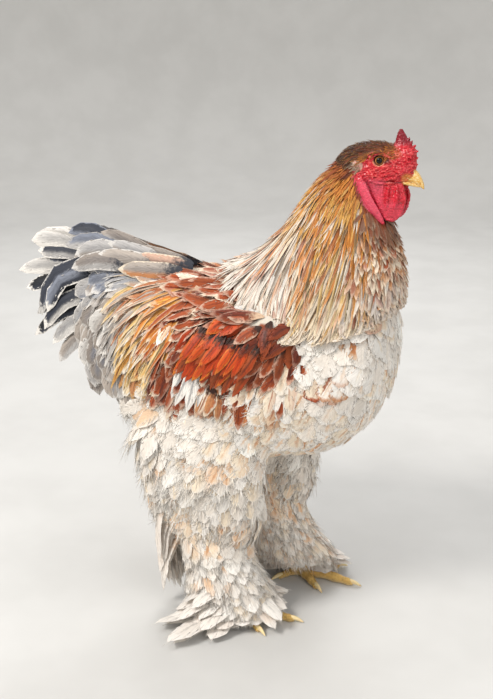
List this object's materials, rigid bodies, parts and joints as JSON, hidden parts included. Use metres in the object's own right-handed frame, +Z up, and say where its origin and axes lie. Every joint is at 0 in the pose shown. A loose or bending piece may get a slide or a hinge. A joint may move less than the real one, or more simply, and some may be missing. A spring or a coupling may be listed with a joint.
{
  "type": "brahma chicken",
  "caption": "Life-size standing Brahma rooster with low comb, hanging wattles, full neck hackle, fanned tail, fluffy thighs and feathered feet, posed still for display",
  "frame": {"origin": "on the floor under the middle of the bird's whole length and width", "axes": "+X towards the beak, +Y towards the bird's left side, +Z up"},
  "size_m": [0.558, 0.37, 0.66],
  "materials": {
    "face_skin": "bare red skin, finely wrinkled, slightly moist",
    "comb": "fleshy, pebbled, slight gloss",
    "beak": "smooth horn, satin",
    "eye": "wet gloss",
    "hackle_feathers": "long silky feathers, gold to cream with dark stripes",
    "body_feathers": "soft white feathers with rust-brown markings",
    "wing_feathers": "firm red-brown feathers with pale edges",
    "tail_feathers": "blue-grey feathers with pale edges",
    "leg_feathers": "soft cream fluff and short feathers",
    "foot_skin": "scaly yellow skin, matte",
    "claw": "horn, satin"
  },
  "bodies": {
    "root": {"head": "face_skin", "beak_upper": "beak", "beak_lower": "beak", "comb": "comb", "eye_right": "eye", "wattle_right": "comb", "earlobe_right": "comb", "eye_left": "eye", "wattle_left": "comb", "earlobe_left": "comb", "neck": "hackle_feathers", "torso": "body_feathers", "tail": "tail_feathers", "wing_right": "wing_feathers", "thigh_right": "leg_feathers", "shank_right": "leg_feathers", "foot_right": "foot_skin", "spur_right": "claw", "claw_right_middle": "claw", "claw_right_inner": "claw", "claw_right_outer": "claw", "claw_right_hind": "claw", "wing_left": "wing_feathers", "thigh_left": "leg_feathers", "shank_left": "leg_feathers", "foot_left": "foot_skin", "spur_left": "claw", "claw_left_middle": "claw", "claw_left_inner": "claw", "claw_left_outer": "claw", "claw_left_hind": "claw"}
  },
  "joints": []
}
